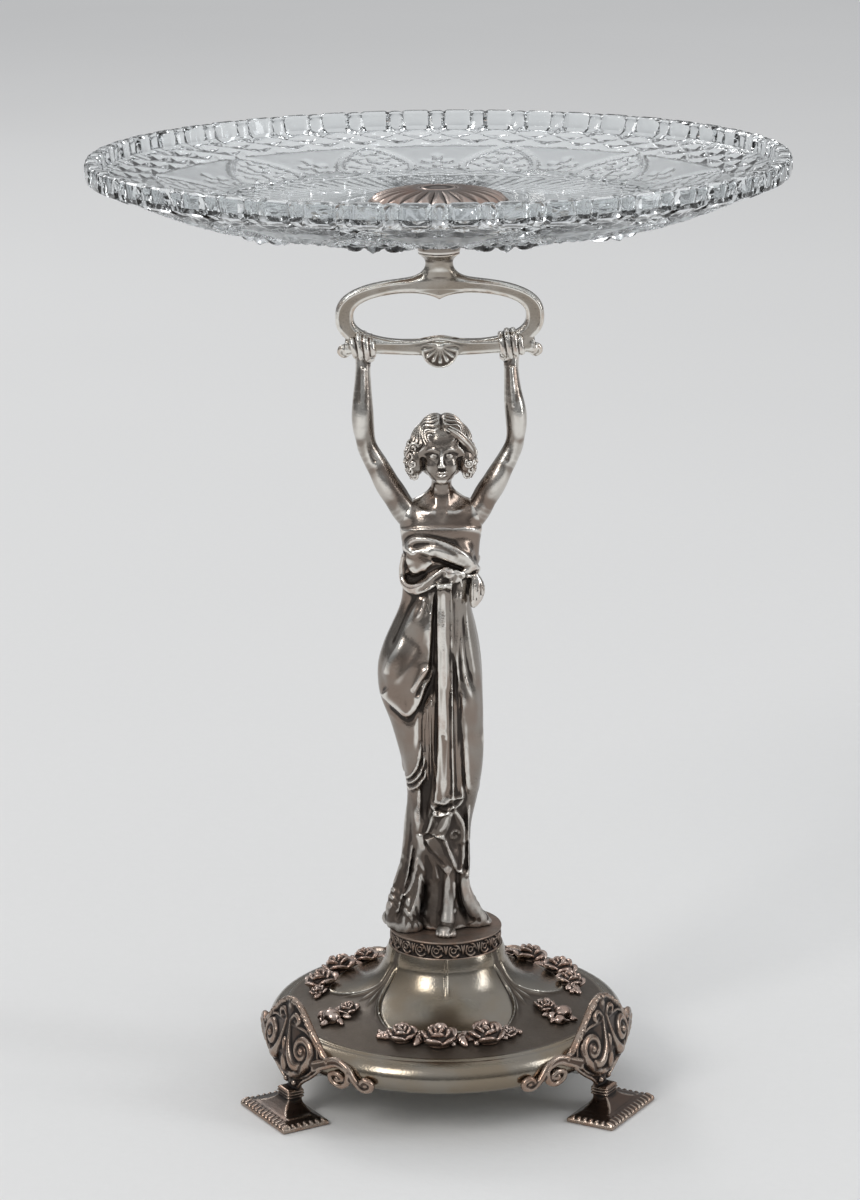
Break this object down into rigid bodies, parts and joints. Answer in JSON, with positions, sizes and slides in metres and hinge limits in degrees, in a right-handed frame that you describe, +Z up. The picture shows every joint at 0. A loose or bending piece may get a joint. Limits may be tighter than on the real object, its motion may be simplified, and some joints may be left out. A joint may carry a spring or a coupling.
{
  "type": "fruit stand",
  "caption": "Figural fruit stand: wide shallow pressed-glass dish on a silvered draped figure holding an oval loop, with a domed base on scrolled feet.",
  "frame": {"origin": "on the table, under the stand's axis, at the middle of the footprint", "axes": "+Z up along the screw's axis, -Y to the front, the way the figure faces"},
  "size_m": [0.34, 0.34, 0.476],
  "materials": {
    "pressed_glass": "clear pressed glass, fire polished",
    "bright_silver": "silver plate, rubbed bright",
    "aged_silver": "antique silver plate with brown patina",
    "base_silver": "antique silver plate, polished panels on a matt ground",
    "dark_silver": "dark patinated silver plate with coppery wear",
    "rose_silver": "worn silver plate with a rosy copper cast",
    "steel": "plain steel",
    "felt": "dark felt",
    "rubber": "matt black rubber"
  },
  "bodies": {
    "stand": {"dish_gasket": "rubber", "dish_saucer": "aged_silver", "loop_handle": "bright_silver", "figure_body": "aged_silver", "figure_arm_left": "aged_silver", "figure_arm_right": "aged_silver", "figure_plinth": "dark_silver", "base_shell": "base_silver", "tie_rod": "steel", "tie_washer": "steel", "tie_nut": "steel", "foot_rear": "dark_silver", "foot_screw_rear": "steel", "foot_washer_rear": "steel", "rose_spray_rear": "rose_silver", "foot_left": "dark_silver", "foot_screw_left": "steel", "foot_washer_left": "steel", "rose_spray_left": "rose_silver", "foot_right": "dark_silver", "foot_screw_right": "steel", "foot_washer_right": "steel", "rose_spray_right": "rose_silver", "garland_front": "rose_silver", "garland_rear_right": "rose_silver", "garland_rear_left": "rose_silver"},
    "dish": {"glass_dish": "pressed_glass"},
    "washer": {"rosette_felt": "felt"},
    "rosette": {"rosette_cap": "rose_silver", "rosette_screw": "steel"}
  },
  "joints": [
    {"name": "dish_lift", "type": "slide", "parent": "stand", "child": "dish", "axis": [0, 0, 1], "range_m": [0, 0.04]},
    {"name": "rosette_rise", "type": "slide", "parent": "dish", "child": "washer", "axis": [0, 0, 1], "range_m": [0, 0.0081]},
    {"name": "rosette_turn", "type": "hinge", "parent": "washer", "child": "rosette", "pos_m": [0, 0, 0.456], "axis": [0, 0, 1], "range_deg": [0, 2880]}
  ],
  "couplings": [
    {"joint": "rosette_rise", "follows": "rosette_turn", "m_per_rad": 0.00015915}
  ]
}
